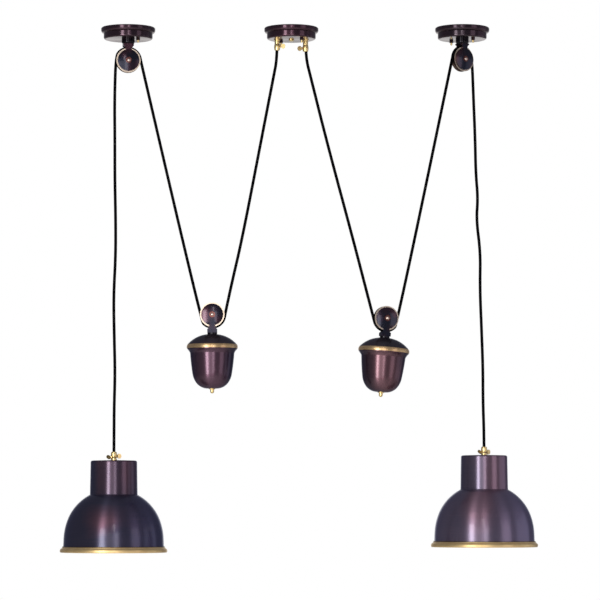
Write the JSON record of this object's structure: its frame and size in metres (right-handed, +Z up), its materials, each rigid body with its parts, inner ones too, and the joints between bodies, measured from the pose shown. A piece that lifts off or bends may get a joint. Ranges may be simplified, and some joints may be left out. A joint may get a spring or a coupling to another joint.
{
  "type": "rise and fall pendant light",
  "caption": "Rise and fall pendant light: dome shades hang on round flex from ceiling pulleys, balanced by acorn counterweights; dark bronze lacquer, brass rims and cord grips.",
  "frame": {"origin": "centre of the middle rose on the ceiling plane", "axes": "+Z up, +X along the row of roses from the left shade to the right one, -Y towards the viewer"},
  "size_m": [0.9522, 0.2326, 1.0516],
  "materials": {
    "bronze_lacquer": "dark bronze lacquer over finely turned metal, satin",
    "polished_brass": "polished, clear lacquered",
    "sheave_brass": "pale pinkish brass, turned",
    "black_flex": "round braided textile flex, matt",
    "zinc_steel": "zinc plated",
    "dark_steel": "blackened",
    "slug_iron": "as cast",
    "porcelain": "glazed",
    "connector_plastic": "natural nylon"
  },
  "bodies": {
    "ceiling": {"ceiling_straps": "zinc_steel", "rose_studs": "polished_brass", "rose_nuts": "dark_steel", "terminal_block": "connector_plastic", "rose_cover_left": "bronze_lacquer", "rose_cover_middle": "bronze_lacquer", "rose_cover_right": "bronze_lacquer", "pulley_yoke_left": "bronze_lacquer", "pulley_yoke_right": "bronze_lacquer", "ceiling_cheeks": "bronze_lacquer", "ceiling_axles": "zinc_steel", "rose_cord_grips": "polished_brass", "cord_drop_left": "black_flex", "cord_outer_left": "black_flex", "cord_inner_left": "black_flex", "cord_drop_right": "black_flex", "cord_outer_right": "black_flex", "cord_inner_right": "black_flex"},
    "ceiling_wheel_left": {"ceiling_sheave_left": "sheave_brass"},
    "weight_left": {"weight_cheeks_left": "bronze_lacquer", "weight_axle_left": "zinc_steel", "weight_collar_left": "bronze_lacquer", "weight_cap_left": "bronze_lacquer", "weight_band_left": "polished_brass", "weight_body_left": "bronze_lacquer", "weight_slug_left": "slug_iron", "weight_rod_left": "zinc_steel", "weight_finial_left": "polished_brass"},
    "weight_wheel_left": {"weight_sheave_left": "sheave_brass"},
    "shade_left": {"shade_shell_left": "bronze_lacquer", "shade_rim_left": "polished_brass", "shade_grip_left": "polished_brass", "lampholder_cap_left": "polished_brass", "lampholder_core_left": "porcelain", "lamp_socket_left": "polished_brass", "lampholder_skirt_left": "polished_brass"},
    "rose_screw_left": {"rose_thumbscrew_left": "polished_brass"},
    "shade_screw_left_low": {"shade_thumbscrew_left_low": "polished_brass"},
    "shade_screw_left_high": {"shade_thumbscrew_left_high": "polished_brass"},
    "ceiling_wheel_right": {"ceiling_sheave_right": "sheave_brass"},
    "weight_right": {"weight_cheeks_right": "bronze_lacquer", "weight_axle_right": "zinc_steel", "weight_collar_right": "bronze_lacquer", "weight_cap_right": "bronze_lacquer", "weight_band_right": "polished_brass", "weight_body_right": "bronze_lacquer", "weight_slug_right": "slug_iron", "weight_rod_right": "zinc_steel", "weight_finial_right": "polished_brass"},
    "weight_wheel_right": {"weight_sheave_right": "sheave_brass"},
    "shade_right": {"shade_shell_right": "bronze_lacquer", "shade_rim_right": "polished_brass", "shade_grip_right": "polished_brass", "lampholder_cap_right": "polished_brass", "lampholder_core_right": "porcelain", "lamp_socket_right": "polished_brass", "lampholder_skirt_right": "polished_brass"},
    "rose_screw_right": {"rose_thumbscrew_right": "polished_brass"},
    "shade_screw_right_low": {"shade_thumbscrew_right_low": "polished_brass"},
    "shade_screw_right_high": {"shade_thumbscrew_right_high": "polished_brass"}
  },
  "joints": [
    {"name": "shade_left_slide", "type": "slide", "parent": "ceiling", "child": "shade_left", "axis": [0, 0, 1], "range_m": [-0.36, 0.36], "deforming": ["cord_drop_left"]},
    {"name": "weight_left_slide", "type": "slide", "parent": "ceiling", "child": "weight_left", "axis": [0, 0, 1], "range_m": [-0.1845, 0.1845], "deforming": ["cord_outer_left", "cord_inner_left"]},
    {"name": "ceiling_wheel_left_spin", "type": "hinge", "parent": "ceiling", "child": "ceiling_wheel_left", "pos_m": [-0.328, 0, -0.066], "axis": [-0.1736, 0.9848, 0], "range_deg": [-826, 826]},
    {"name": "weight_wheel_left_spin", "type": "hinge", "parent": "weight_left", "child": "weight_wheel_left", "pos_m": [-0.158, 0.00217, -0.5774], "axis": [0, 1, 0], "range_deg": [-423, 423]},
    {"name": "rose_screw_left_turn", "type": "hinge", "parent": "ceiling", "child": "rose_screw_left", "pos_m": [-0.0285, 0, -0.0367], "axis": [1, 0, 0], "range_deg": [0, 720]},
    {"name": "shade_screw_left_low_turn", "type": "hinge", "parent": "shade_left", "child": "shade_screw_left_low", "pos_m": [-0.3533, -0.00434, -0.8622], "axis": [-0.866, -0.5, 0], "range_deg": [0, 720]},
    {"name": "shade_screw_left_high_turn", "type": "hinge", "parent": "shade_left", "child": "shade_screw_left_high", "pos_m": [-0.3533, -0.00434, -0.8601], "axis": [0.866, 0.5, 0], "range_deg": [0, 720]},
    {"name": "shade_right_slide", "type": "slide", "parent": "ceiling", "child": "shade_right", "axis": [0, 0, 1], "range_m": [-0.36, 0.36], "deforming": ["cord_drop_right"]},
    {"name": "weight_right_slide", "type": "slide", "parent": "ceiling", "child": "weight_right", "axis": [0, 0, 1], "range_m": [-0.1845, 0.1845], "deforming": ["cord_outer_right", "cord_inner_right"]},
    {"name": "ceiling_wheel_right_spin", "type": "hinge", "parent": "ceiling", "child": "ceiling_wheel_right", "pos_m": [0.3435, 0, -0.0636], "axis": [-0.5878, 0.809, 0], "range_deg": [-826, 826]},
    {"name": "weight_wheel_right_spin", "type": "hinge", "parent": "weight_right", "child": "weight_wheel_right", "pos_m": [0.1892, -0.00735, -0.5854], "axis": [-0.2419, 0.9703, 0], "range_deg": [-423, 423]},
    {"name": "rose_screw_right_turn", "type": "hinge", "parent": "ceiling", "child": "rose_screw_right", "pos_m": [0.0285, 0, -0.0415], "axis": [-1, 0, 0], "range_deg": [0, 720]},
    {"name": "shade_screw_right_low_turn", "type": "hinge", "parent": "shade_right", "child": "shade_screw_right_low", "pos_m": [0.3853, 0.01469, -0.8516], "axis": [-0.766, -0.6428, 0], "range_deg": [0, 720]},
    {"name": "shade_screw_right_high_turn", "type": "hinge", "parent": "shade_right", "child": "shade_screw_right_high", "pos_m": [0.3853, 0.01469, -0.8516], "axis": [0.766, 0.6428, 0], "range_deg": [0, 720]}
  ],
  "couplings": [
    {"joint": "weight_left_slide", "follows": "shade_left_slide", "ratio": -0.511},
    {"joint": "ceiling_wheel_left_spin", "follows": "shade_left_slide", "rad_per_m": 40},
    {"joint": "weight_wheel_left_spin", "follows": "shade_left_slide", "rad_per_m": -20.44},
    {"joint": "weight_right_slide", "follows": "shade_right_slide", "ratio": -0.511},
    {"joint": "ceiling_wheel_right_spin", "follows": "shade_right_slide", "rad_per_m": -40},
    {"joint": "weight_wheel_right_spin", "follows": "shade_right_slide", "rad_per_m": 20.44}
  ]
}
